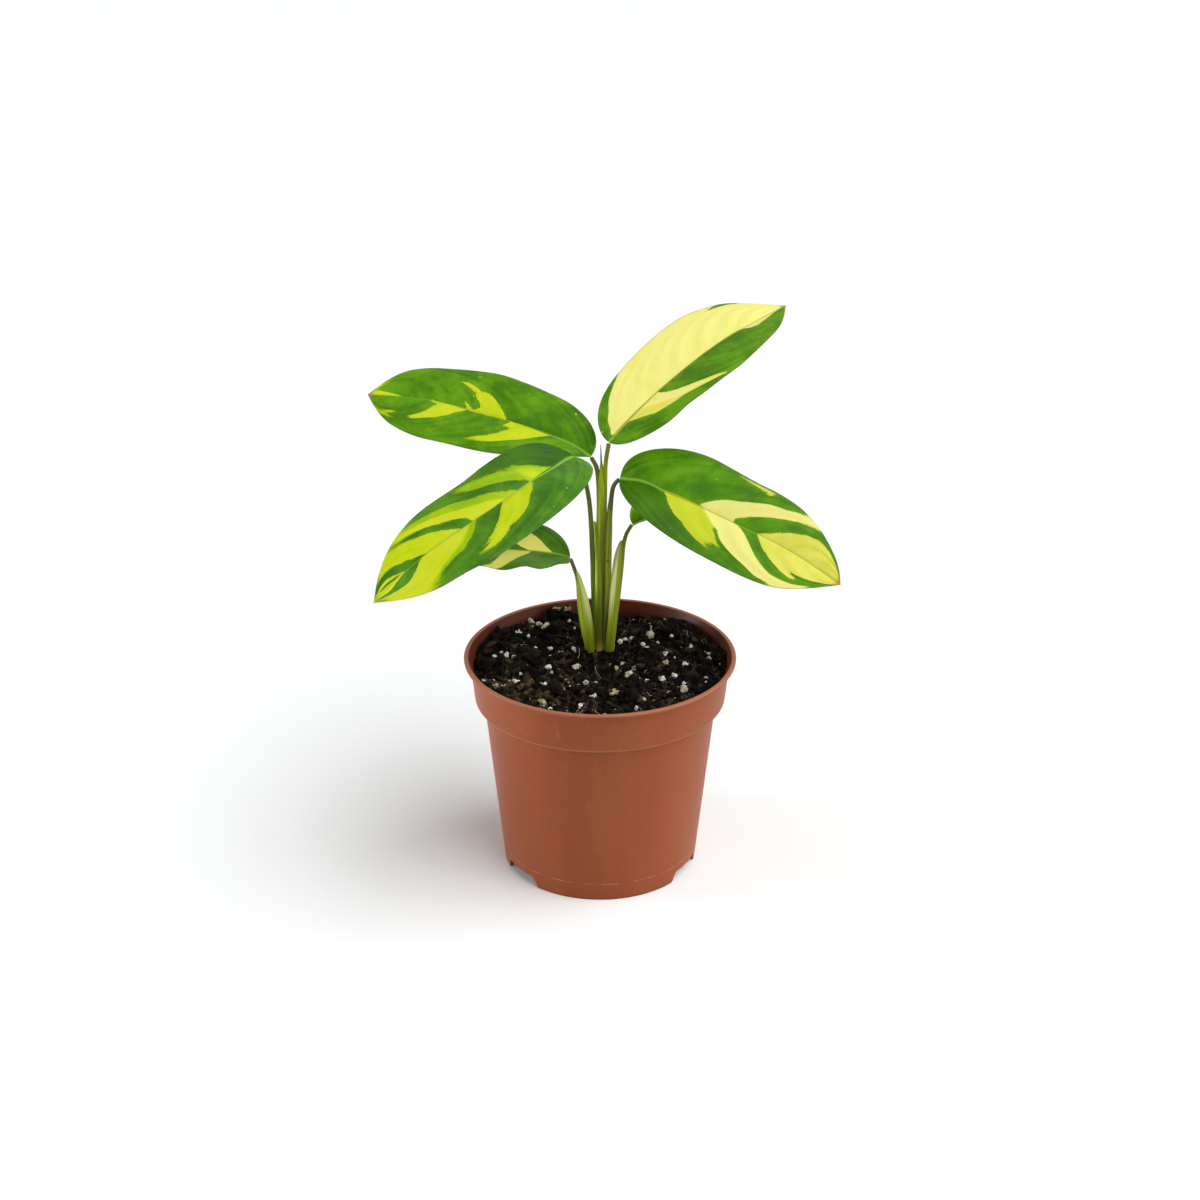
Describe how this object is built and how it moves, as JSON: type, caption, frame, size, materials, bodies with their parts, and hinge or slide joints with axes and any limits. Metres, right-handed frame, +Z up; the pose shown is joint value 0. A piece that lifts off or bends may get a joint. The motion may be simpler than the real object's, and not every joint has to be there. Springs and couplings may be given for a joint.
{
  "type": "potted house plant",
  "caption": "Young variegated prayer-plant cousin with broad paddle leaves on slim sheathed stalks, growing in soil in a round terracotta-coloured nursery pot.",
  "frame": {"origin": "on the floor under the middle of the plant's outer bounds, which is also the pot's axis to within half a millimetre", "axes": "+Z up along the pot's axis, which is also the longest side; -Y towards the plant's best side; +X towards the lower right leaf"},
  "size_m": [0.2053, 0.1383, 0.2404],
  "materials": {
    "pot_plastic": "satin",
    "potting_soil": "matte",
    "stalk_green": "satin",
    "leaf_variegated": "satin"
  },
  "bodies": {
    "root": {"pot": "pot_plastic", "soil": "potting_soil", "stalk_upper_right": "stalk_green", "stalk_upper_left": "stalk_green", "stalk_lower_left": "stalk_green", "stalk_lower_right": "stalk_green", "stalk_small_left": "stalk_green", "stalk_small_right": "stalk_green", "spear_leaf": "stalk_green", "leaf_upper_right": "leaf_variegated", "leaf_upper_left": "leaf_variegated", "leaf_lower_left": "leaf_variegated", "leaf_lower_right": "leaf_variegated", "leaf_small_left": "leaf_variegated", "leaf_small_right": "leaf_variegated"}
  },
  "joints": []
}
